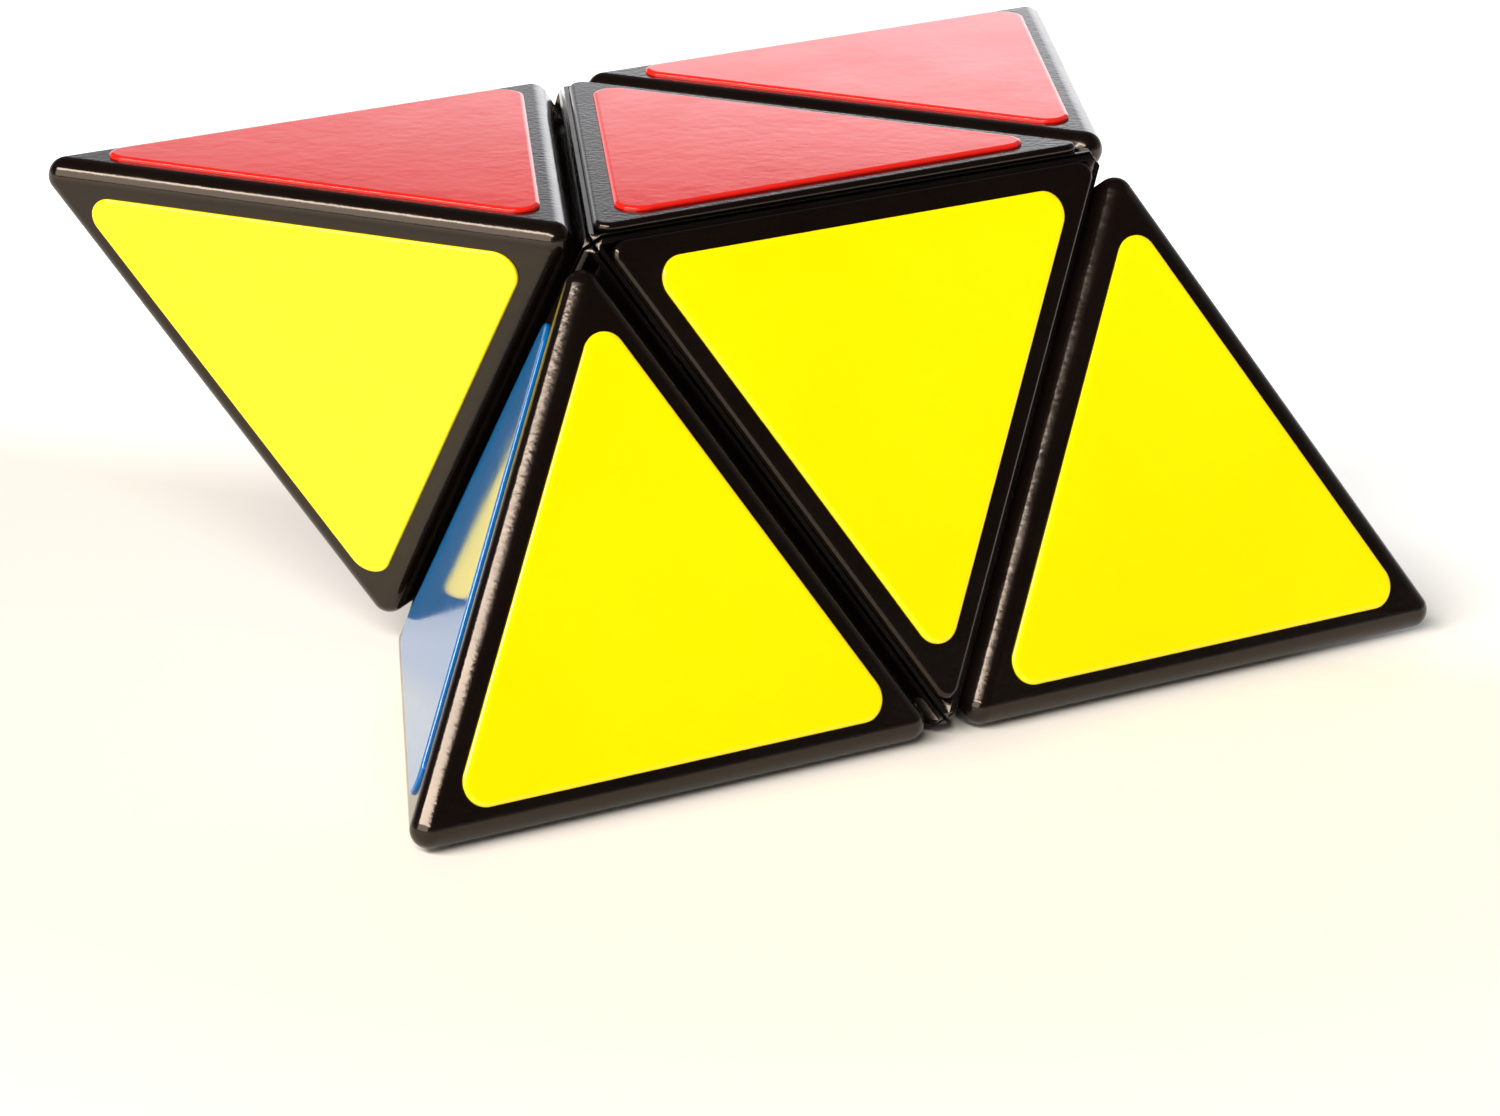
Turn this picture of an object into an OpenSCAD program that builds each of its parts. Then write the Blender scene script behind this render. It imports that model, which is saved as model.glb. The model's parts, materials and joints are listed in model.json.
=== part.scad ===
// Twisty pyramid puzzle: four tetrahedral corners and four flat face centres that
// turn about three crossed axes. It is shown one quarter turn away from the closed
// pyramid, lying on two corners and one face centre.
// The origin is the centre of the core, where all the turning axes cross.

/* [Outer pieces] */
// Sharp edge of one small triangle, which is half the edge of the closed pyramid
piece_edge = 48; // [46:1:60]
// Radius of the rounded edges of the corner shells
edge_radius = 1.4; // [1:0.1:1.8]
// Distance from a cut plane to the shell beside it
seam_inset = 1; // [0.9:0.05:1.5]
// Distance from a cut plane to the face plate beside it
plate_inset = 0.5; // [0.5:0.05:1]
// Thickness of the face plates
plate_thickness = 1.8; // [1.4:0.1:2]
// Radius of the rounded edges between the sloping sides of the face plates
plate_corner = 1.4; // [1:0.1:4]
// Wall of the hollow corner shells
shell_wall = 2.2; // [1.6:0.1:3]

/* [Stickers] */
// Distance from the sharp edge of a small triangle to its sticker
sticker_inset = 2.7; // [2.6:0.1:6]
// Radius of the sticker corners
sticker_corner = 1.8; // [1:0.1:5]
// Thickness of a sticker
sticker_thickness = 0.3; // [0.1:0.05:0.4]

/* [Piece bases] */
// Thickness of the three flat walls along the cut planes
base_wall = 1.6; // [1.2:0.1:2]
// Thickness of the spherical wall over the mechanism
seat_wall = 1.2; // [0.8:0.1:1.2]
// Thickness of the lips that stand in the seams
lip_thickness = 0.3; // [0.2:0.05:0.3]
// How far the lips stay below the faces
lip_drop = 0.6; // [0.4:0.1:1]
// Radius of the pegs that join a shell or plate to its base
peg_radius = 1.2; // [0.8:0.1:1.4]
// Distance of the pegs from the middle of the triangle
peg_reach = 15; // [14:0.5:16]
// Length of the pegs below the parting plane
peg_length = 3; // [2:0.5:3]

/* [Mechanism] */
// Radius inside which only the core is found
core_space = 7; // [6.8:0.1:7.4]
// Outer radius of the layer that holds the feet
foot_space = 11; // [10.8:0.1:11.2]
// Outer radius of the whole mechanism
mechanism_radius = 15.5; // [15.3:0.1:15.6]
// Half width of the middle slice among the feet
foot_slice = 2.2; // [2.1:0.05:2.4]
// Half width of the middle slice above the feet
flange_slice = 4.2; // [4:0.1:4.4]
// Gap between two pieces that slide on each other
running_gap = 0.3; // [0.2:0.05:0.4]
// Radius of the axle screws
screw_radius = 1; // [0.9:0.05:1.1]

/* [Hidden] */
$fn = 48;
corner_names = ["front_left", "front_right", "back_left", "back_right"];
corner_signs = [[1, -1, 1], [1, 1, -1], [-1, -1, 1], [-1, 1, -1]];
centre_names = ["front", "top", "bottom", "back"];
centre_signs = [[1, 1, 1], [-1, 1, 1], [1, -1, -1], [-1, -1, -1]];
cap_names = ["front", "back", "upper_right", "lower_left", "upper_left", "lower_right"];
cap_turns = [[0, 90, 0], [0, -90, 0], [-90, 0, 0], [90, 0, 0], [0, 0, 0], [180, 0, 0]];
// The side of the core on which each cap lies along its axis
cap_sides = [1, -1, 1, -1, 1, -1];

// Hidden edge pieces: the two caps that each one lies between, and the signs of its place
edge_places = concat(
    [for (i = [0, 1], j = [2, 3]) [i, j, [cap_sides[i], cap_sides[j], 0]]],
    [for (i = [0, 1], k = [4, 5]) [i, k, [cap_sides[i], 0, cap_sides[k]]]],
    [for (j = [2, 3], k = [4, 5]) [j, k, [0, cap_sides[j], cap_sides[k]]]]
);
function edge_name(place) = str("edge_", cap_names[place[0]], "_", cap_names[place[1]]);

// Corner stickers: the corner, the axis across whose cut plane the face looks, the colour
corner_stickers = [
    [0, 1, "yellow"], [0, 0, "blue"], [0, 2, "green"],
    [1, 2, "yellow"], [1, 0, "red"], [1, 1, "green"],
    [2, 0, "yellow"], [2, 1, "red"], [2, 2, "blue"],
    [3, 0, "green"], [3, 2, "red"], [3, 1, "blue"]
];
centre_colours = ["yellow", "red", "green", "blue"];
function sticker_name(s) = str("sticker_", corner_names[s[0]], "_", s[2]);

// Distance along an axis from the core to the sharp tip of an octant
axis_reach = piece_edge / sqrt(2);
// Distance from the core to every outer face
face_level = axis_reach / sqrt(3);
// Level of the joint between a base and its shell or plate
parting_level = face_level - plate_thickness;
// A length that is larger than the whole puzzle
beyond = 3 * piece_edge;
half_gap = running_gap / 2;

// The bases are cut to a ball this far inside their sharp tips
tip_trim = 2;
tip_ball_radius = axis_reach - tip_trim;
// Wall around each peg hole, the depth of its boss, and the room below and around the peg
boss_wall = 1;
boss_depth = 7;
peg_hole_rest = 0.5;
peg_clearance = 0.05;
// How far the pegs run up into their shell or plate
peg_root = plate_thickness / 4;
// The hollow of a shell stops this far short of the middle of the pegs
hollow_margin = 1.8;
// The hollow is cut on below the shell by this much
hollow_overcut = 1;
// Thickness of the flat slices that give the shells their flat faces
facet_depth = 0.1;
// Round parts of the shells are drawn with this many sides
shell_sides = 32;

// Core: middle ball, arms, and the level at which the screws start
core_ball_radius = 5.6;
arm_radius = 2.4;
arm_length = core_space - 0.6;
thread_start = 2.2;
// Pocket of a cap, which holds the spring, the washer and the head of the screw
pocket_radius = 2.45;
pocket_floor = foot_space + 0.4;
shaft_clearance = 0.05;
// Head of a screw, with a cross-shaped recess for the driver
head_radius = 2.1;
head_height = 0.95;
head_top = mechanism_radius - 0.4;
head_bottom = head_top - head_height;
drive_width = 0.5;
drive_length = 2.8;
drive_depth = 0.45;
// Washer under each screw head
washer_radius = 2.2;
washer_height = 0.3;
washer_bottom = head_bottom - washer_height;
// Spring: wire, coil, and how finely the coil is drawn
wire_radius = 0.26;
wire_sides = 6;
coil_radius = 1.75;
coil_turns = 3;
coil_steps = 12;
spring_clearance = 0.1;

// The axes of the core, as the puzzle lies: x points forward and down
lying_pose = [
    [0, 1 / sqrt(2), -1 / sqrt(2), 0],
    [-2 / sqrt(6), -1 / sqrt(6), -1 / sqrt(6), 0],
    [-1 / sqrt(3), 1 / sqrt(3), 1 / sqrt(3), 0],
    [0, 0, 0, 1]
];
// Turns z to the middle of the first octant, with y away from the tip on z
face_pose = [
    [1 / sqrt(2), 1 / sqrt(6), 1 / sqrt(3), 0],
    [-1 / sqrt(2), 1 / sqrt(6), 1 / sqrt(3), 0],
    [0, -2 / sqrt(6), 1 / sqrt(3), 0],
    [0, 0, 0, 1]
];

module lying() { multmatrix(lying_pose) children(); }
module facing() { multmatrix(face_pose) children(); }
module in_octant(signs) { scale(signs) children(); }
module cycled(steps) { rotate(a = 120 * steps, v = [1, 1, 1]) children(); }
module at_pegs() { for (turn = [30, 150, 270]) rotate(turn) translate([peg_reach, 0, 0]) children(); }

// The first octant, less a slice of the given depth along each cut plane
module octant(depth) { translate([depth, depth, depth]) cube(beyond); }

// Everything between two levels measured towards the middle of the first octant
module between_levels(low, high) {
    facing() translate([-beyond, -beyond, low]) cube([2 * beyond, 2 * beyond, high - low]);
}

module ball_shell(inner, outer) {
    difference() {
        sphere(outer);
        sphere(inner);
    }
}

// Outline of a triangle with round corners and one corner towards -y
function rounded_triangle(side, radius, steps = 8) = [
    for (corner = [0:2], step = [0:steps])
        let (middle = 120 * corner - 90, angle = middle - 60 + 120 * step / steps)
            (side / sqrt(3) - 2 * radius) * [cos(middle), sin(middle)]
                + radius * [cos(angle), sin(angle)]
];

// Side of the triangle that is left at a level when each cut plane is moved in by a depth
function section_side(level, depth) = sqrt(2) * (sqrt(3) * level - 3 * depth);

// ---- Mechanism ----

module along_each_axis() { for (turn = cap_turns) rotate(turn) children(); }

module core() {
    color("dimgray") lying() difference() {
        union() {
            sphere(core_ball_radius);
            along_each_axis() cylinder(r = arm_radius, h = arm_length);
        }
        along_each_axis() translate([0, 0, thread_start]) {
            cylinder(r = screw_radius + shaft_clearance / 2, h = core_space);
        }
    }
}

module screw() {
    difference() {
        union() {
            translate([0, 0, thread_start]) cylinder(r = screw_radius, h = head_bottom - thread_start);
            translate([0, 0, head_bottom]) cylinder(r = head_radius, h = head_height);
        }
        for (turn = [0, 90]) rotate(turn) translate([0, 0, head_top]) {
            cube([drive_length, drive_width, 2 * drive_depth], center = true);
        }
    }
}

module axle_screws() { color("silver") lying() along_each_axis() screw(); }

module washers() {
    color("silver") lying() along_each_axis() translate([0, 0, washer_bottom]) difference() {
        cylinder(r = washer_radius, h = washer_height);
        translate([0, 0, -washer_height]) {
            cylinder(r = screw_radius + shaft_clearance, h = 3 * washer_height);
        }
    }
}

// One spring: rings of points around the wire, joined along a helix
module spring() {
    low = pocket_floor + spring_clearance + wire_radius;
    high = washer_bottom - wire_radius;
    last = coil_turns * coil_steps;
    points = [
        for (ring = [0:last], side = [0:wire_sides - 1])
            let (
                turn = 360 * ring / coil_steps,
                around = 360 * side / wire_sides,
                reach = coil_radius + wire_radius * cos(around),
                height = low + (high - low) * ring / last + wire_radius * sin(around)
            )
                [reach * cos(turn), reach * sin(turn), height]
    ];
    skin = [
        for (ring = [0:last - 1], side = [0:wire_sides - 1], half = [0, 1])
            let (
                next = (side + 1) % wire_sides,
                base = ring * wire_sides,
                above = base + wire_sides
            )
                half == 0
                    ? [base + side, base + next, above + next]
                    : [base + side, above + next, above + side]
    ];
    start_face = [for (side = [0:wire_sides - 1]) wire_sides - 1 - side];
    end_face = [for (side = [0:wire_sides - 1]) last * wire_sides + side];
    polyhedron(points = points, faces = concat(skin, [start_face, end_face]));
}

module springs() { color("silver") lying() along_each_axis() spring(); }

// A cap on its axis, with a pocket for the spring and the head of the screw
module cap() {
    column = 2 * (foot_slice - half_gap);
    flange = 2 * (flange_slice - half_gap);
    difference() {
        union() {
            intersection() {
                translate([-column / 2, -column / 2, 0]) cube([column, column, beyond]);
                ball_shell(core_space + half_gap, mechanism_radius - half_gap);
            }
            intersection() {
                translate([-flange / 2, -flange / 2, 0]) cube([flange, flange, beyond]);
                ball_shell(foot_space + half_gap, mechanism_radius - half_gap);
            }
        }
        cylinder(r = screw_radius + shaft_clearance, h = beyond);
        translate([0, 0, pocket_floor]) cylinder(r = pocket_radius, h = beyond);
    }
}

// A box in the angle between two axes, across the middle slice of the third
module edge_box(start, half_width) {
    translate([start, start, -half_width]) cube([beyond, beyond, 2 * half_width]);
}

// An edge piece between the first two axes: a foot, a column and a flange
module edge_piece() {
    intersection() {
        edge_box(foot_slice + half_gap, foot_slice - half_gap);
        ball_shell(core_space + half_gap, foot_space - half_gap);
    }
    intersection() {
        edge_box(flange_slice + half_gap, foot_slice - half_gap);
        ball_shell(core_space + half_gap, mechanism_radius - half_gap);
    }
    intersection() {
        edge_box(flange_slice + half_gap, flange_slice - half_gap);
        ball_shell(foot_space + half_gap, mechanism_radius - half_gap);
    }
}

// The signs hold a zero for the axis whose middle slice the piece crosses
module placed_edge(signs) {
    full_signs = [for (s = signs) s == 0 ? 1 : s];
    steps = signs[2] == 0 ? 0 : signs[0] == 0 ? 1 : 2;
    color("darkslategray") lying() in_octant(full_signs) cycled(steps) edge_piece();
}

// ---- Outer pieces, each drawn in the first octant ----

module foot_and_stalk() {
    intersection() {
        octant(foot_slice + half_gap);
        ball_shell(core_space + half_gap, foot_space - half_gap);
    }
    intersection() {
        octant(flange_slice + half_gap);
        ball_shell(core_space + half_gap, mechanism_radius + seat_wall);
    }
}

// The moulded body of an outer piece: three walls, lips, spherical seat, stalk and foot
module base() {
    seat_radius = mechanism_radius + half_gap;
    difference() {
        union() {
            difference() {
                intersection() {
                    octant(half_gap);
                    between_levels(-beyond, face_level - lip_drop);
                    sphere(tip_ball_radius);
                }
                sphere(seat_radius);
                intersection() {
                    octant(half_gap + lip_thickness);
                    between_levels(parting_level, beyond);
                }
                difference() {
                    octant(half_gap + base_wall);
                    sphere(seat_radius + seat_wall);
                }
            }
            intersection() {
                octant(half_gap + lip_thickness);
                ball_shell(seat_radius, tip_ball_radius);
                facing() at_pegs() translate([0, 0, parting_level - boss_depth]) {
                    cylinder(r = peg_radius + boss_wall, h = boss_depth);
                }
            }
            foot_and_stalk();
        }
        facing() at_pegs() translate([0, 0, parting_level - peg_length - peg_hole_rest]) {
            cylinder(r = peg_radius + peg_clearance, h = beyond);
        }
    }
}

module pegs() {
    facing() at_pegs() translate([0, 0, parting_level - peg_length]) {
        cylinder(r = peg_radius, h = peg_length + peg_root);
    }
}

// The space on the inner side of two cut planes, with the edge between them rounded
module rounded_wedge(depth, radius, steps = 8) {
    heart = (depth + radius) * [1, 1];
    round_edge = [for (step = [0:steps]) heart - radius * [sin(90 * step / steps), cos(90 * step / steps)]];
    linear_extrude(beyond) {
        polygon(concat([[beyond, depth]], round_edge, [[depth, beyond], [beyond, beyond]]));
    }
}

module plate() {
    intersection() {
        rounded_wedge(plate_inset, plate_corner);
        cycled(1) rounded_wedge(plate_inset, plate_corner);
        cycled(2) rounded_wedge(plate_inset, plate_corner);
        between_levels(parting_level, face_level);
    }
    pegs();
}

// Centres of the rounding balls: one at the far tip, three beside the cut planes
ball_far = axis_reach - sqrt(3) * edge_radius;
ball_near = seam_inset + edge_radius;

// The flat part of the shell's face that looks across the third cut plane
module shell_facet() {
    flat = [
        [0, 4 * ball_far / sqrt(6)],
        [(ball_far - ball_near) / sqrt(2), (ball_far + 3 * ball_near) / sqrt(6)],
        [-(ball_far - ball_near) / sqrt(2), (ball_far + 3 * ball_near) / sqrt(6)]
    ];
    mirror([0, 0, 1]) facing() translate([0, 0, face_level - facet_depth]) {
        linear_extrude(facet_depth) polygon(flat);
    }
}

module shell_outside() {
    hull() {
        translate([ball_far, ball_far, ball_far]) sphere(edge_radius, $fn = shell_sides);
        for (step = [0:2]) cycled(step) {
            translate([ball_far, ball_near, ball_near]) sphere(edge_radius, $fn = shell_sides);
            shell_facet();
        }
        facing() translate([0, 0, parting_level]) linear_extrude(facet_depth) {
            polygon(rounded_triangle(section_side(parting_level, seam_inset), edge_radius / 2));
        }
    }
}

// The hollow of a shell, open towards the base; its lower corners stay solid for the pegs
module shell_hollow() {
    far = axis_reach - sqrt(3) * shell_wall;
    near = seam_inset + shell_wall;
    foot = sqrt(3) * (parting_level - hollow_overcut) - 2 * near;
    tip = [[far, far, far]];
    rim = [[far, near, near], [near, far, near], [near, near, far]];
    mouth = [[foot, near, near], [near, foot, near], [near, near, foot]];
    roof = [[0, 2, 1], [0, 3, 2], [0, 1, 3]];
    sides = [[1, 2, 5, 4], [2, 3, 6, 5], [3, 1, 4, 6]];
    intersection() {
        polyhedron(points = concat(tip, rim, mouth), faces = concat(roof, sides, [[4, 5, 6]]));
        facing() cylinder(r = peg_reach - hollow_margin, h = beyond);
    }
}

module shell() {
    difference() {
        shell_outside();
        shell_hollow();
    }
    pegs();
}

module sticker() {
    side = piece_edge - 2 * sqrt(3) * sticker_inset;
    translate([0, 0, face_level]) linear_extrude(sticker_thickness) {
        polygon(rounded_triangle(side, sticker_corner));
    }
}

// A corner's sticker, on the face that looks across the cut plane of the given axis
module corner_sticker(signs, axis) {
    flipped = [for (i = [0:2]) i == axis ? -signs[i] : signs[i]];
    turn = axis == 2 ? 0 : axis == 0 ? 120 : -120;
    lying() in_octant(flipped) facing() rotate(turn) {
        translate([0, piece_edge / sqrt(3), 0]) rotate(180) sticker();
    }
}

module centre_sticker(signs) { lying() in_octant(signs) facing() sticker(); }
module placed_cap(i) { color("darkslategray") lying() rotate(cap_turns[i]) cap(); }
module placed_base(signs) { color([0.05, 0.05, 0.05]) lying() in_octant(signs) base(); }
module placed_shell(signs) { color([0.08, 0.08, 0.08]) lying() in_octant(signs) shell(); }
module placed_plate(signs) { color([0.08, 0.08, 0.08]) lying() in_octant(signs) plate(); }

core();
axle_screws();
springs();
washers();
for (i = [0:5]) {
    placed_cap(i);
}
for (place = edge_places) {
    placed_edge(place[2]);
}
for (i = [0:3]) {
    placed_base(corner_signs[i]);
    placed_base(centre_signs[i]);
    placed_shell(corner_signs[i]);
    placed_plate(centre_signs[i]);
}
for (s = corner_stickers) {
    union() {
        color(s[2]) corner_sticker(corner_signs[s[0]], s[1]);
    }
}
for (i = [0:3]) {
    union() {
        color(centre_colours[i]) centre_sticker(centre_signs[i]);
    }
}
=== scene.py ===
"""Twisty pyramid puzzle, one quarter turn away from the closed pyramid.

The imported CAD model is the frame. The stickers, the face plates, the hollow corner
shells and the moulded bases are rebuilt here with rounded edges, and the hidden
mechanism stays as the CAD made it, with procedural materials.
"""

import json
import math

import bmesh
import bpy
from mathutils import Matrix, Vector


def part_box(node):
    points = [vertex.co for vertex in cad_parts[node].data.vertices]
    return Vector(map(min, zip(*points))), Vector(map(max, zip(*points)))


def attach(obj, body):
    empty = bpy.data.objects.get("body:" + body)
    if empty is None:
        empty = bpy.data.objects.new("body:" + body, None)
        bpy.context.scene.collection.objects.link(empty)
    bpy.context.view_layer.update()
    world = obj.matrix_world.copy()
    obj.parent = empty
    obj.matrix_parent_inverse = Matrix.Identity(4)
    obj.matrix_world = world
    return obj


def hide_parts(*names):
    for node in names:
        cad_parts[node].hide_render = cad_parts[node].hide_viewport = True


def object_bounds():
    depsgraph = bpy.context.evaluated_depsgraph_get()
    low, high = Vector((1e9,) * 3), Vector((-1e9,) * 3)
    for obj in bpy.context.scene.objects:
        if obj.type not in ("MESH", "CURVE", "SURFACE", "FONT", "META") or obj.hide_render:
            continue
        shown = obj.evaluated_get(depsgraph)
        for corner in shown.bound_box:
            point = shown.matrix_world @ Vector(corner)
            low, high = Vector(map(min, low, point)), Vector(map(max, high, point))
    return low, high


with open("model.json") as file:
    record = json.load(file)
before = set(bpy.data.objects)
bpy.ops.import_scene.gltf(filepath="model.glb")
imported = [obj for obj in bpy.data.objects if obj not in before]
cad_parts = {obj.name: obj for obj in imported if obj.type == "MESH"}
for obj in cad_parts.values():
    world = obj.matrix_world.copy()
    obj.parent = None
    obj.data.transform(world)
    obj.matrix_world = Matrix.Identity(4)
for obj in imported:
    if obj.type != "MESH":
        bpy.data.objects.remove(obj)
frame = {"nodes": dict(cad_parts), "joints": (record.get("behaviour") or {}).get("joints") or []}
cad_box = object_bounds()

MM = 0.001

# ---- Camera: where the puzzle is seen from ----

CAMERA_AZIMUTH = math.radians(34.03)
CAMERA_ELEVATION = math.radians(18.07)
CAMERA_ROLL = math.radians(0.22)
CAMERA_DISTANCE = 502.7 * MM
CAMERA_RISE = 12.4 * MM
CAMERA_LENS = 157.9
SENSOR_WIDTH = 36.0


def make_camera():
    """A long lens, looking down at the front from the left."""
    level = math.cos(CAMERA_ELEVATION)
    ahead = Vector((
        math.sin(CAMERA_AZIMUTH) * level,
        math.cos(CAMERA_AZIMUTH) * level,
        -math.sin(CAMERA_ELEVATION),
    ))
    right = ahead.cross(Vector((0, 0, 1))).normalized()
    right.rotate(Matrix.Rotation(-CAMERA_ROLL, 3, ahead))
    up = right.cross(ahead)
    data = bpy.data.cameras.new("camera")
    data.lens = CAMERA_LENS
    data.sensor_width = SENSOR_WIDTH
    data.clip_start = 0.01
    data.clip_end = 30
    camera = bpy.data.objects.new("camera", data)
    bpy.context.scene.collection.objects.link(camera)
    turn = Matrix((right, up, -ahead)).transposed()
    place = -ahead * CAMERA_DISTANCE - up * CAMERA_RISE
    camera.matrix_world = Matrix.Translation(place) @ turn.to_4x4()
    bpy.context.scene.camera = camera


make_camera()

# ---- Sizes, from the frame and from a few driving dimensions ----

# Levels are measured from the core to the outer faces of the octahedron
FACE_LEVEL = -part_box("plate_bottom")[0].z
AXIS_REACH = math.sqrt(3) * FACE_LEVEL
PIECE_EDGE = math.sqrt(2) * AXIS_REACH
STICKER_THICKNESS = -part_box("sticker_centre_bottom_green")[0].z - FACE_LEVEL
PLATE_THICKNESS = 1.8 * MM
PARTING_LEVEL = FACE_LEVEL - PLATE_THICKNESS
SEAM_INSET = 1 * MM

EDGE_RADIUS = 1.415 * MM
PLATE_INSET = 0.5 * MM
PLATE_CORNER = 1.4 * MM
PLATE_RIM = 0.4 * MM
STICKER_INSET = 2.7 * MM
STICKER_CORNER = 1.8 * MM
STICKER_ROUND = 0.35 * MM
STICKER_DROP = 0.6 * STICKER_THICKNESS

# Edges of a base sharper than this are bevelled; facets flatter than this are merged
BASE_BEVEL = 0.12 * MM
SHARP_ANGLE = math.radians(35)
FLAT_ANGLE = math.radians(0.4)
WELD_DISTANCE = 0.001 * MM

PEG_REACH = 15 * MM
PEG_RADIUS = 1.2 * MM
PEG_LENGTH = 3 * MM
PEG_ROUND = 0.3 * MM
PEG_ROOT = PLATE_THICKNESS / 4
SHELL_WALL = 2.2 * MM
HOLLOW_REACH = PEG_REACH - 1.8 * MM

RIDGE_STEPS = 28
SEAM_STEPS = 14
CORNER_STEPS = 14
RIM_STEPS = 5
PEG_SIDES = 24

CORNERS = {
    "front_left": (1, -1, 1),
    "front_right": (1, 1, -1),
    "back_left": (-1, -1, 1),
    "back_right": (-1, 1, -1),
}
CENTRES = {
    "front": (1, 1, 1),
    "top": (-1, 1, 1),
    "bottom": (1, -1, -1),
    "back": (-1, -1, -1),
}
# The colour of each sticker of a corner, by the cut plane across which its face looks
CORNER_COLOURS = {
    "front_left": ("blue", "yellow", "green"),
    "front_right": ("red", "green", "yellow"),
    "back_left": ("yellow", "red", "blue"),
    "back_right": ("green", "blue", "red"),
}
CENTRE_COLOURS = {"front": "yellow", "top": "red", "bottom": "green", "back": "blue"}

# ---- Directions: the core's own axes, and a face's own axes ----

AXIS_JOINTS = ("turn_front", "turn_upper_right", "turn_upper_left")


def core_axes():
    """The matrix that lays the core's axes the way the frame has them."""
    axes = {joint["name"]: Vector(joint["axis"]) for joint in frame["joints"]}
    return Matrix([axes[name].normalized() for name in AXIS_JOINTS]).transposed()


LYING = core_axes()
FACING = Matrix((
    Vector((1, -1, 0)).normalized(),
    Vector((1, 1, -2)).normalized(),
    Vector((1, 1, 1)).normalized(),
)).transposed()
UP = Vector((0, 0, 1))


def octant(signs):
    """Puts a piece that is drawn in the first octant in the octant with these signs."""
    return LYING @ Matrix.Diagonal(Vector(signs))


def slerp(a, b, share):
    """The direction at a share of the way from one direction to another."""
    return a.slerp(b, share) if 0 < share < 1 else (a if share <= 0 else b)


# ---- Meshes with exact normals ----

# Places that agree to this many steps in a metre are one vertex
VERTEX_STEPS = 1e7


class Skin:
    """Faces whose corners each have a place and a normal; equal places are one vertex."""

    def __init__(self):
        self.places = []
        self.index = {}
        self.faces = []
        self.normals = []

    def vertex(self, place):
        key = tuple(round(value * VERTEX_STEPS) for value in place)
        if key not in self.index:
            self.index[key] = len(self.places)
            self.places.append(place)
        return self.index[key]

    def face(self, corners):
        """Adds a face from (place, normal) pairs, turned to look along its normals."""
        loop = []
        for place, normal in corners:
            number = self.vertex(place)
            if number not in [other for other, _ in loop]:
                loop.append((number, normal))
        if len(loop) < 3:
            return
        spots = [self.places[number] for number, _ in loop]
        area = Vector((0, 0, 0))
        for i, spot in enumerate(spots):
            area += (spots[i - 1] - spots[0]).cross(spot - spots[0])
        mean = sum((normal for _, normal in loop), Vector((0, 0, 0)))
        if area.dot(mean) < 0:
            loop.reverse()
        self.faces.append([number for number, _ in loop])
        self.normals.extend(normal for _, normal in loop)

    def flat(self, places, normal):
        self.face([(place, normal) for place in places])

    def strip(self, first, second, closed=False):
        """Joins two rows of (place, normal) pairs with quads."""
        for i in range(0 if closed else 1, len(first)):
            self.face([first[i - 1], first[i], second[i], second[i - 1]])

    def piece(self, name, turn):
        """Makes the object, with every place and normal turned by a matrix."""
        mirrored = turn.determinant() < 0
        faces = [face[::-1] for face in self.faces] if mirrored else self.faces
        mesh = bpy.data.meshes.new(name)
        mesh.from_pydata([turn @ place for place in self.places], [], faces)
        normals = []
        start = 0
        for face in self.faces:
            part = [turn @ normal for normal in self.normals[start:start + len(face)]]
            normals.extend(part[::-1] if mirrored else part)
            start += len(face)
        mesh.polygons.foreach_set("use_smooth", [True] * len(faces))
        mesh.normals_split_custom_set(normals)
        mesh.update()
        obj = bpy.data.objects.new(name, mesh)
        bpy.context.scene.collection.objects.link(obj)
        return obj


def triangle_outline(side, radius, inset):
    """A rounded triangle with a corner towards -y: (place, outward direction) pairs."""
    pairs = []
    for corner in range(3):
        middle = math.radians(120 * corner - 90)
        heart = Vector((math.cos(middle), math.sin(middle), 0)) * (side / math.sqrt(3) - 2 * radius)
        for step in range(CORNER_STEPS + 1):
            angle = middle + math.radians(120 * step / CORNER_STEPS - 60)
            outward = Vector((math.cos(angle), math.sin(angle), 0))
            pairs.append((heart + outward * (radius - inset), outward))
    return pairs


def add_tablet(skin, place, side, radius, low, high, rim_in, rim_down):
    """A flat rounded triangle between two levels, with an elliptical round to its top rim."""

    def ring(inset, level, tilt):
        rows = []
        for spot, outward in triangle_outline(side, radius, inset):
            normal = outward * math.cos(tilt) + UP * math.sin(tilt)
            rows.append((place(spot + UP * level), place.turn @ normal))
        return rows

    rows = [ring(0, low, 0)]
    for step in range(RIM_STEPS + 1):
        angle = math.radians(90 * step / RIM_STEPS)
        slope = math.atan2(rim_in * math.sin(angle), rim_down * math.cos(angle))
        inset = rim_in * (1 - math.cos(angle))
        rows.append(ring(inset, high - rim_down * (1 - math.sin(angle)), slope))
    for lower, upper in zip(rows, rows[1:]):
        skin.strip(lower, upper, closed=True)
    skin.flat([spot for spot, _ in rows[-1]], place.turn @ UP)
    skin.flat([spot for spot, _ in rows[0]], place.turn @ -UP)


class Placing:
    """A turn and a shift, called on a place; its turn alone serves for normals."""

    def __init__(self, turn, shift=Vector((0, 0, 0))):
        self.turn = turn
        self.shift = shift

    def __call__(self, place):
        return self.turn @ place + self.shift


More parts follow.
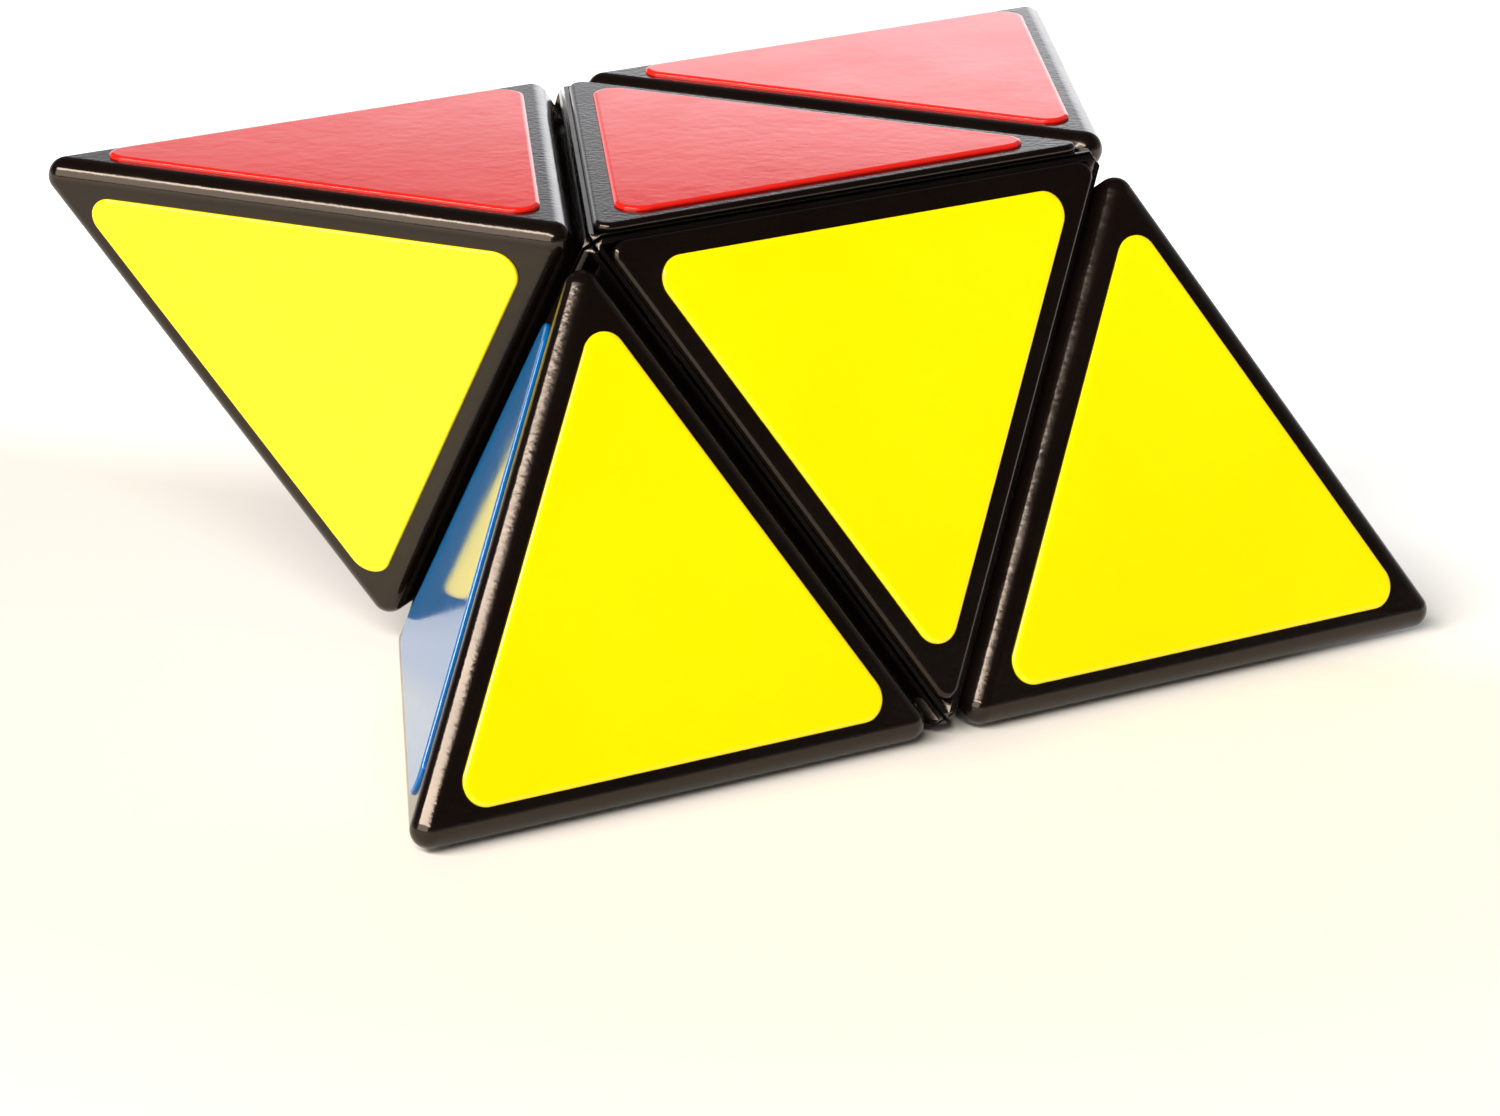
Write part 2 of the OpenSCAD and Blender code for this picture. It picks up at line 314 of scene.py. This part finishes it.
def add_pegs(skin):
    """Three pegs that stand down from the parting level, with rounded ends."""
    low = PARTING_LEVEL - PEG_LENGTH
    high = PARTING_LEVEL + PEG_ROOT
    profile = [(PEG_RADIUS - PEG_ROUND, low), (PEG_RADIUS, low + PEG_ROUND), (PEG_RADIUS, high)]
    for turn in (30, 150, 270):
        angle = math.radians(turn)
        heart = Vector((math.cos(angle), math.sin(angle), 0)) * PEG_REACH
        rings = []
        for radius, level in profile:
            ring = []
            for side in range(PEG_SIDES):
                around = math.tau * side / PEG_SIDES
                outward = Vector((math.cos(around), math.sin(around), 0))
                ring.append((FACING @ (heart + outward * radius + UP * level), FACING @ outward))
            rings.append(ring)
        for lower, upper in zip(rings, rings[1:]):
            skin.strip(lower, upper, closed=True)
        skin.flat([spot for spot, _ in rings[0]], FACING @ -UP)
        skin.flat([spot for spot, _ in rings[-1]], FACING @ UP)


# ---- Corner shell: a rounded tetrahedron, hollow and open towards its base ----


def shell_skin():
    skin = Skin()
    ball_far = AXIS_REACH - math.sqrt(3) * EDGE_RADIUS
    ball_near = SEAM_INSET + EDGE_RADIUS
    far = Vector((ball_far, ball_far, ball_far))
    near = [Vector([ball_far if i == axis else ball_near for i in range(3)]) for axis in range(3)]
    # The outer face that looks across each cut plane, and the wall beside that plane
    outer = [Vector([-1 if i == axis else 1 for i in range(3)]).normalized() for axis in range(3)]
    wall = [Vector([-1 if i == axis else 0 for i in range(3)]) for axis in range(3)]

    def on_ball(centre, direction):
        return (centre + direction * EDGE_RADIUS, direction)

    def dropped(centre, axis, direction):
        """The point of a wall straight below a ball, at the parting level."""
        spot = centre + direction * EDGE_RADIUS
        spot[axis] += math.sqrt(3) * PARTING_LEVEL - sum(spot)
        return (spot, direction)

    def row(a, b, steps, centre):
        return [on_ball(centre, slerp(a, b, i / steps)) for i in range(steps + 1)]

    add_far_ball(skin, outer, lambda direction: on_ball(far, direction))
    bottom = []
    for axis in range(3):
        after = (axis + 1) % 3
        before = (axis + 2) % 3
        # The ball at the tip of this axis lies between the faces across the other two planes
        grid = []
        for j in range(SEAM_STEPS + 1):
            line = []
            for i in range(RIDGE_STEPS + 1):
                high = slerp(outer[after], outer[before], i / RIDGE_STEPS)
                low = slerp(wall[after], wall[before], i / RIDGE_STEPS)
                line.append(on_ball(near[axis], slerp(high, low, j / SEAM_STEPS)))
            grid.append(line)
        for upper, lower in zip(grid, grid[1:]):
            skin.strip(upper, lower)
        # The ridge to the far tip, and the rounded wall corner below the ball
        skin.strip(grid[0], row(outer[after], outer[before], RIDGE_STEPS, far))
        foot = [dropped(near[axis], axis, direction) for _, direction in grid[-1]]
        skin.strip(grid[-1], foot)
        bottom.extend(spot for spot, _ in foot)
        # The face across this plane, its rounded seam edge and the wall beside the plane
        ends = (near[after], near[before])
        skin.flat([centre + outer[axis] * EDGE_RADIUS for centre in (far, *ends)], outer[axis])
        skin.strip(*[row(outer[axis], wall[axis], SEAM_STEPS, end) for end in ends])
        skin.flat([
            on_ball(near[after], wall[axis])[0],
            dropped(near[after], after, wall[axis])[0],
            dropped(near[before], before, wall[axis])[0],
            on_ball(near[before], wall[axis])[0],
        ], wall[axis])
    add_hollow(skin, bottom)
    add_pegs(skin)
    return skin


def add_far_ball(skin, outer, on_ball):
    """The three-sided patch of the ball at the far tip."""
    steps = RIDGE_STEPS

    def spot(i, j):
        shares = (i / steps, j / steps, (steps - i - j) / steps)
        mean = Vector((0, 0, 0))
        for k in range(3):
            a, b, c = shares[k], shares[(k + 1) % 3], shares[(k + 2) % 3]
            side = slerp(outer[k], outer[(k + 1) % 3], b / (a + b)) if a + b > 0 else outer[k]
            mean += slerp(side, outer[(k + 2) % 3], c)
        return on_ball(mean.normalized())

    for i in range(steps):
        for j in range(steps - i):
            skin.face([spot(i, j), spot(i + 1, j), spot(i, j + 1)])
            if i + j < steps - 1:
                skin.face([spot(i + 1, j), spot(i + 1, j + 1), spot(i, j + 1)])


def add_hollow(skin, bottom):
    """The flat rim at the parting level and the hollow inside it, up to an apex."""
    inward = FACING @ -UP
    near = SEAM_INSET + SHELL_WALL
    side = math.sqrt(2) * (math.sqrt(3) * PARTING_LEVEL - 3 * near)
    apex = Vector((1, 1, 1)) * (AXIS_REACH - math.sqrt(3) * SHELL_WALL)
    mouth = []
    for corner in range(3):
        middle = math.radians(120 * corner - 90)
        out = Vector((math.cos(middle), math.sin(middle), 0))
        across = Vector((-math.sin(middle), math.cos(middle), 0))
        width = (side / math.sqrt(3) - HOLLOW_REACH) * math.tan(math.radians(30))
        for sign in (-1, 1):
            mouth.append(FACING @ (out * HOLLOW_REACH + across * width * sign + UP * PARTING_LEVEL))
    centre = FACING @ (UP * PARTING_LEVEL)

    def bearing(place):
        local = FACING.transposed() @ (place - centre)
        return math.atan2(local.y, local.x)

    bottom = sorted(bottom, key=bearing)
    mouth = sorted(mouth, key=bearing)
    # Each stretch of the rim runs to the mouth corner that is nearest by bearing
    nearest = []
    for place in bottom:
        gaps = [abs((bearing(place) - bearing(corner) + math.pi) % math.tau - math.pi) for corner in mouth]
        nearest.append(gaps.index(min(gaps)))
    for i, place in enumerate(bottom):
        corners = [bottom[i - 1], place, mouth[nearest[i]]]
        if nearest[i - 1] != nearest[i]:
            corners.append(mouth[nearest[i - 1]])
        skin.flat(corners, inward)
    for i, corner in enumerate(mouth):
        normal = (mouth[i - 1] - apex).cross(corner - apex).normalized()
        middle = (mouth[i - 1] + corner) / 2
        normal = normal if normal.dot(centre - middle) > 0 else -normal
        skin.flat([mouth[i - 1], corner, apex], normal)


# ---- Face plate: its sides run along the cut planes, and every edge is rounded ----


def plate_skin():
    skin = Skin()
    up = Vector((1, 1, 1)).normalized()

    def ring(level, depth, radius):
        """The outline at a level: three straight sides and three rounded corners."""
        rows = []
        for axis in range(3):
            for step in range(CORNER_STEPS + 1):
                turn = math.radians(90 * step / CORNER_STEPS)
                wall = Vector((0, 0, 0))
                wall[(axis + 1) % 3] = -math.cos(turn)
                wall[(axis + 2) % 3] = -math.sin(turn)
                spot = wall * radius
                for other in ((axis + 1) % 3, (axis + 2) % 3):
                    spot[other] += depth + radius
                spot[axis] = math.sqrt(3) * level - sum(spot)
                rows.append((spot, wall))
        return rows

    heart = ring(FACE_LEVEL - PLATE_RIM, PLATE_INSET + PLATE_RIM, PLATE_CORNER - PLATE_RIM)
    rows = [ring(PARTING_LEVEL, PLATE_INSET, PLATE_CORNER)]
    for step in range(RIM_STEPS + 1):
        tilted = [slerp(wall, up, step / RIM_STEPS) for _, wall in heart]
        rows.append([(spot + normal * PLATE_RIM, normal) for (spot, _), normal in zip(heart, tilted)])
    for lower, upper in zip(rows, rows[1:]):
        skin.strip(lower, upper, closed=True)
    skin.flat([spot for spot, _ in rows[-1]], up)
    skin.flat([spot for spot, _ in rows[0]], -up)
    add_pegs(skin)
    return skin


# ---- Sticker: a thin rounded triangle on a face ----


def sticker_skin(shift, turn):
    """A sticker of the first octant's face, moved along the face and turned."""
    skin = Skin()
    side = PIECE_EDGE - 2 * math.sqrt(3) * STICKER_INSET
    spin = Matrix.Rotation(turn, 3, "Z")
    place = Placing(FACING @ spin, FACING @ shift)
    top = FACE_LEVEL + STICKER_THICKNESS
    add_tablet(skin, place, side, STICKER_CORNER, FACE_LEVEL, top, STICKER_ROUND, STICKER_DROP)
    return skin


# ---- Materials ----


def new_material(name):
    material = bpy.data.materials.new(name)
    material.use_nodes = True
    return material, material.node_tree.nodes, material.node_tree.links


def noise(nodes, links, scale, detail=2.0, roughness=0.5, distortion=0.0):
    """A noise pattern with this many features in a metre, fixed to the object."""
    coords = nodes.new("ShaderNodeTexCoord")
    pattern = nodes.new("ShaderNodeTexNoise")
    pattern.inputs["Scale"].default_value = scale
    pattern.inputs["Detail"].default_value = detail
    pattern.inputs["Roughness"].default_value = roughness
    pattern.inputs["Distortion"].default_value = distortion
    links.new(coords.outputs["Object"], pattern.inputs["Vector"])
    return pattern.outputs["Fac"]


def spread(nodes, links, source, low, high, start=0.3, end=0.7):
    """Runs from low to high while a value, such as a pattern's, runs from start to end."""
    ranged = nodes.new("ShaderNodeMapRange")
    ranged.inputs["From Min"].default_value = start
    ranged.inputs["From Max"].default_value = end
    ranged.inputs["To Min"].default_value = low
    ranged.inputs["To Max"].default_value = high
    links.new(source, ranged.inputs["Value"])
    return ranged.outputs["Result"]


def along(nodes, links, source, direction):
    """How far a place or a direction lies along another direction."""
    dot = nodes.new("ShaderNodeVectorMath")
    dot.operation = "DOT_PRODUCT"
    dot.inputs[1].default_value = direction
    links.new(source, dot.inputs[0])
    return dot.outputs["Value"]


def combine(nodes, links, operation, first, *others):
    """Adds or multiplies two or more values."""
    for other in others:
        node = nodes.new("ShaderNodeMath")
        node.operation = operation
        links.new(first, node.inputs[0])
        links.new(other, node.inputs[1])
        first = node.outputs["Value"]
    return first


def tinted(nodes, links, source, dark, light):
    """Two close colours, mixed by a pattern."""
    ramp = nodes.new("ShaderNodeValToRGB")
    ramp.color_ramp.elements[0].position = 0.3
    ramp.color_ramp.elements[0].color = (*dark, 1)
    ramp.color_ramp.elements[1].position = 0.7
    ramp.color_ramp.elements[1].color = (*light, 1)
    links.new(source, ramp.inputs["Fac"])
    return ramp.outputs["Color"]


def bump(nodes, links, source, height, below=None):
    """Raises the surface by a pattern, with another bump below it."""
    node = nodes.new("ShaderNodeBump")
    node.inputs["Strength"].default_value = 1
    node.inputs["Distance"].default_value = height
    links.new(source, node.inputs["Height"])
    if below is not None:
        links.new(below, node.inputs["Normal"])
    return node.outputs["Normal"]


def gloss_plastic(name, dark, light, grain, roughness):
    """Injection-moulded plastic: a slow waviness, a fine grain and a patchy polish."""
    material, nodes, links = new_material(name)
    shader = nodes["Principled BSDF"]
    tone = noise(nodes, links, 60, detail=3)
    links.new(tinted(nodes, links, tone, dark, light), shader.inputs["Base Color"])
    patches = noise(nodes, links, 220, detail=4)
    links.new(spread(nodes, links, patches, *roughness), shader.inputs["Roughness"])
    waves = bump(nodes, links, noise(nodes, links, 260, detail=1), 0.5 * grain)
    fine = bump(nodes, links, noise(nodes, links, 2100, detail=2), grain, waves)
    links.new(fine, shader.inputs["Normal"])
    shader.inputs["IOR"].default_value = 1.47
    shader.inputs["Specular Tint"].default_value = (1, 0.86, 0.72, 1)
    return material


def vinyl(name, dark, light):
    """A glossy vinyl sticker: even colour, a faint orange peel and a soft sheen."""
    material, nodes, links = new_material(name)
    shader = nodes["Principled BSDF"]
    tone = noise(nodes, links, 45, detail=2)
    links.new(tinted(nodes, links, tone, dark, light), shader.inputs["Base Color"])
    patches = noise(nodes, links, 150, detail=4)
    links.new(spread(nodes, links, patches, 0.05, 0.1), shader.inputs["Roughness"])
    waves = bump(nodes, links, noise(nodes, links, 300, detail=2), 0.004 * MM)
    fine = bump(nodes, links, noise(nodes, links, 900, detail=2), 0.0025 * MM, waves)
    links.new(fine, shader.inputs["Normal"])
    shader.inputs["IOR"].default_value = 1.5
    return material


def satin_plastic(name, dark, light):
    """The nylon of the moving parts: duller, with fine rubbed marks."""
    material, nodes, links = new_material(name)
    shader = nodes["Principled BSDF"]
    tone = noise(nodes, links, 120, detail=4)
    links.new(tinted(nodes, links, tone, dark, light), shader.inputs["Base Color"])
    marks = noise(nodes, links, 900, detail=6, roughness=0.7, distortion=0.6)
    links.new(spread(nodes, links, marks, 0.38, 0.55), shader.inputs["Roughness"])
    links.new(bump(nodes, links, marks, 0.01 * MM), shader.inputs["Normal"])
    return material


def zinc(name):
    """Zinc-plated steel of the screws, springs and washers."""
    material, nodes, links = new_material(name)
    shader = nodes["Principled BSDF"]
    shader.inputs["Metallic"].default_value = 1
    tone = noise(nodes, links, 500, detail=3)
    links.new(tinted(nodes, links, tone, (0.55, 0.56, 0.57), (0.72, 0.72, 0.7)), shader.inputs["Base Color"])
    marks = noise(nodes, links, 2500, detail=5, distortion=0.4)
    links.new(spread(nodes, links, marks, 0.22, 0.4), shader.inputs["Roughness"])
    links.new(bump(nodes, links, marks, 0.004 * MM), shader.inputs["Normal"])
    return material


OUTER_PLASTIC = gloss_plastic(
    "outer_plastic", (0.0035, 0.002, 0.0016), (0.005, 0.003, 0.0024), 0.011 * MM, (0.1, 0.18)
)
BASE_PLASTIC = gloss_plastic(
    "base_plastic", (0.0025, 0.0018, 0.0016), (0.004, 0.003, 0.0025), 0.004 * MM, (0.14, 0.24)
)
MECHANISM_PLASTIC = satin_plastic("mechanism_plastic", (0.025, 0.025, 0.028), (0.04, 0.04, 0.043))
CORE_PLASTIC = satin_plastic("core_plastic", (0.045, 0.045, 0.05), (0.07, 0.07, 0.075))
STEEL = zinc("steel")
VINYLS = {
    "yellow": vinyl("vinyl_yellow", (0.93, 0.74, 0.0), (0.97, 0.78, 0.001)),
    "red": vinyl("vinyl_red", (0.68, 0.012, 0.006), (0.74, 0.016, 0.009)),
    "blue": vinyl("vinyl_blue", (0.001, 0.1, 0.31), (0.003, 0.115, 0.35)),
    "green": vinyl("vinyl_green", (0.0, 0.26, 0.045), (0.002, 0.3, 0.055)),
}


# ---- Pieces ----


def finished(piece, body, node, material):
    """Gives a piece its material and its body, and hides the CAD node that it stands for."""
    piece.data.materials.append(material)
    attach(piece, body)
    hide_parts(node)


def make_shells_and_plates():
    shell = shell_skin()
    for name, signs in CORNERS.items():
        piece = shell.piece("corner_shell_" + name, octant(signs))
        finished(piece, "corner_" + name, "shell_" + name, OUTER_PLASTIC)
    plate = plate_skin()
    for name, signs in CENTRES.items():
        piece = plate.piece("centre_plate_" + name, octant(signs))
        finished(piece, "centre_" + name, "plate_" + name, OUTER_PLASTIC)


def make_stickers():
    # A corner's sticker lies beyond the edge of its face of the octahedron, upside down
    beyond = Vector((0, PIECE_EDGE / math.sqrt(3), 0))
    for name, signs in CORNERS.items():
        for axis, colour in enumerate(CORNER_COLOURS[name]):
            flipped = [-sign if i == axis else sign for i, sign in enumerate(signs)]
            around = math.radians((120, -120, 0)[axis])
            shift = Matrix.Rotation(around, 3, "Z") @ beyond
            skin = sticker_skin(shift, around + math.pi)
            label = name + "_" + colour
            piece = skin.piece("vinyl_" + label, octant(flipped))
            finished(piece, "corner_" + name, "sticker_" + label, VINYLS[colour])
    skin = sticker_skin(Vector((0, 0, 0)), 0)
    for name, signs in CENTRES.items():
        colour = CENTRE_COLOURS[name]
        label = "centre_" + name + "_" + colour
        piece = skin.piece("vinyl_" + label, octant(signs))
        finished(piece, "centre_" + name, "sticker_" + label, VINYLS[colour])


def make_base(name, body, node):
    """The moulded body of an outer piece: the CAD shape, with its edges rounded off."""
    mesh = frame["nodes"][node].data.copy()
    mesh.materials.clear()
    shape = bmesh.new()
    shape.from_mesh(mesh)
    bmesh.ops.remove_doubles(shape, verts=shape.verts, dist=WELD_DISTANCE)
    bmesh.ops.dissolve_limit(
        shape, angle_limit=FLAT_ANGLE, verts=shape.verts, edges=shape.edges
    )
    sharp = [
        edge for edge in shape.edges
        if len(edge.link_faces) == 2 and edge.calc_face_angle(0) > SHARP_ANGLE
    ]
    bmesh.ops.bevel(
        shape, geom=sharp, offset=BASE_BEVEL, offset_type="OFFSET", segments=2,
        profile=0.5, affect="EDGES", clamp_overlap=True,
    )
    for face in shape.faces:
        face.smooth = True
    shape.to_mesh(mesh)
    shape.free()
    piece = bpy.data.objects.new(name, mesh)
    bpy.context.scene.collection.objects.link(piece)
    weighted = piece.modifiers.new("normals", "WEIGHTED_NORMAL")
    weighted.keep_sharp = False
    weighted.weight = 80
    finished(piece, body, node, BASE_PLASTIC)


def make_bases():
    for name in CORNERS:
        make_base("moulded_base_" + name, "corner_" + name, "base_" + name)
    for name in CENTRES:
        make_base("moulded_base_centre_" + name, "centre_" + name, "base_centre_" + name)


def dress(node, material):
    """Gives a CAD node a procedural material, in every slot it has."""
    mesh = frame["nodes"][node].data
    if not mesh.materials:
        mesh.materials.append(material)
    for slot in range(len(mesh.materials)):
        mesh.materials[slot] = material


def dress_mechanism():
    for node in frame["nodes"]:
        if node.startswith(("cap_", "edge_")):
            dress(node, MECHANISM_PLASTIC)
        if node == "core":
            dress(node, CORE_PLASTIC)
        if node in ("axle_screws", "springs", "washers"):
            dress(node, STEEL)


make_shells_and_plates()
make_stickers()
make_bases()
dress_mechanism()

# ---- Studio: a pale floor and soft light ----

FLOOR_RADIUS = 4.0
FLOOR_SIDES = 96

# Painted light: the floor's own emission brightens it away from the puzzle, and paints out the puzzle's cast
# shadow on its shaded side
SHADOW_SIDE = Vector((0.87, 0.5, 0))
PAINTED_GLOW_AWAY = {"low": 0.0, "high": 0.45, "start": 0.08, "end": 0.22}
# Painted light that fills the puzzle's cast shadow on its shaded side
PAINTED_SHADOW_FILL = {"low": 0.0, "high": 0.55, "start": 0.015, "end": 0.05}

# The backdrop stands to the back right. Its light fades out with height, grows a
# little to the right, and fades again towards its end
BACKDROP_SIDE = Vector((0.56, 0.83, 0))
BACKDROP_ALONG = Vector((0.83, -0.56, 0))
BACKDROP_HEIGHT = {"low": 1.62, "high": 0.13, "start": 0.2425, "end": 0.2605}
BACKDROP_FRONT = {"low": 0.0, "high": 1.0, "start": 0.5, "end": 0.8}
BACKDROP_GROWTH = {"low": 0.45, "high": 1.55, "start": -0.15, "end": 0.15}
BACKDROP_END = {"low": 1.0, "high": 0.05, "start": 0.08, "end": 0.4}

# The rest of the room is dim, a little less so on the right and near the horizon
RIGHT_SIDE = Vector((1, 0, 0))
RIGHT_WALL = {"low": 0.03, "high": 0.25, "start": 0.65, "end": 0.9}
HORIZON = {"low": 0.35, "high": 0.0, "start": 0.14, "end": 0.22}

LIGHT_DISTANCE = 3.0


def floor_paper_painted_light():
    """Matt cream paper, with painted light: an emission that leaves the floor around the puzzle as it is,
    grows away from it, and paints out the puzzle's cast shadow on its shaded side.
    """
    material, nodes, links = new_material("floor_paper_painted_light")
    shader = nodes["Principled BSDF"]
    tone = noise(nodes, links, 4, detail=2)
    paper = tinted(nodes, links, tone, (0.83, 0.82, 0.77), (0.84, 0.83, 0.78))
    links.new(paper, shader.inputs["Base Color"])
    shader.inputs["Roughness"].default_value = 0.6
    shader.inputs["Specular IOR Level"].default_value = 0.2
    # The colour of the floor's painted light, an emission and not a lamp
    shader.inputs["Emission Color"].default_value = (0.93, 0.97, 1, 1)
    place = nodes.new("ShaderNodeTexCoord").outputs["Object"]
    reach = nodes.new("ShaderNodeVectorMath")
    reach.operation = "LENGTH"
    links.new(place, reach.inputs[0])
    # Painted light: emission that grows with distance from the puzzle, plus a painted fill over the puzzle's
    # cast shadow on its shaded side
    around = spread(nodes, links, reach.outputs["Value"], **PAINTED_GLOW_AWAY)
    shadow_fill = spread(nodes, links, along(nodes, links, place, SHADOW_SIDE), **PAINTED_SHADOW_FILL)
    painted_light = combine(nodes, links, "ADD", around, shadow_fill)
    links.new(painted_light, shader.inputs["Emission Strength"])
    return material


def make_floor():
    lowest = cad_box[0].z
    mesh = bpy.data.meshes.new("studio_floor")
    shape = bmesh.new()
    rim = []
    for side in range(FLOOR_SIDES):
        around = math.tau * side / FLOOR_SIDES
        place = (FLOOR_RADIUS * math.cos(around), FLOOR_RADIUS * math.sin(around), lowest)
        rim.append(shape.verts.new(place))
    shape.faces.new(rim)
    shape.to_mesh(mesh)
    shape.free()
    floor = bpy.data.objects.new("studio_floor", mesh)
    bpy.context.scene.collection.objects.link(floor)
    mesh.materials.append(floor_paper_painted_light())


def make_light(name, towards, width, height, radiance, tint):
    """A soft light in this direction from the puzzle, looking at it."""
    data = bpy.data.lights.new(name, "AREA")
    data.shape = "RECTANGLE"
    data.size = width
    data.size_y = height
    data.energy = radiance * math.pi * width * height
    data.color = tint
    light = bpy.data.objects.new(name, data)
    bpy.context.scene.collection.objects.link(light)
    direction = Vector(towards).normalized()
    light.location = direction * LIGHT_DISTANCE
    light.rotation_mode = "QUATERNION"
    light.rotation_quaternion = direction.to_track_quat("Z", "Y")
    light.visible_camera = False


def make_world():
    """A dim room with a pale backdrop, whose light ends a little above the horizon."""
    world = bpy.data.worlds.new("studio")
    bpy.context.scene.world = world
    world.use_nodes = True
    nodes, links = world.node_tree.nodes, world.node_tree.links
    background = nodes["Background"]
    room = nodes.new("ShaderNodeTexCoord").outputs["Generated"]

    def ramp(direction, values):
        return spread(nodes, links, along(nodes, links, room, direction), **values)

    backdrop = combine(
        nodes, links, "MULTIPLY",
        ramp(UP, BACKDROP_HEIGHT),
        ramp(BACKDROP_SIDE, BACKDROP_FRONT),
        ramp(BACKDROP_ALONG, BACKDROP_GROWTH),
        ramp(BACKDROP_ALONG, BACKDROP_END),
    )
    sides = ramp(RIGHT_SIDE, RIGHT_WALL)
    light = combine(nodes, links, "ADD", backdrop, sides, ramp(UP, HORIZON))
    links.new(light, background.inputs["Strength"])
    background.inputs["Color"].default_value = (0.95, 0.96, 1, 1)


def make_studio():
    make_floor()
    make_world()
    make_light("key_softbox", (-0.65, -0.23, 0.66), 4.0, 0.52, 24, (1, 0.92, 0.86))
    make_light("left_reflector", (-0.9, -0.27, 0.36), 3.7, 1.7, 4.3, (1, 0.9, 0.82))


make_studio()
bpy.context.scene.view_settings.view_transform = "Standard"
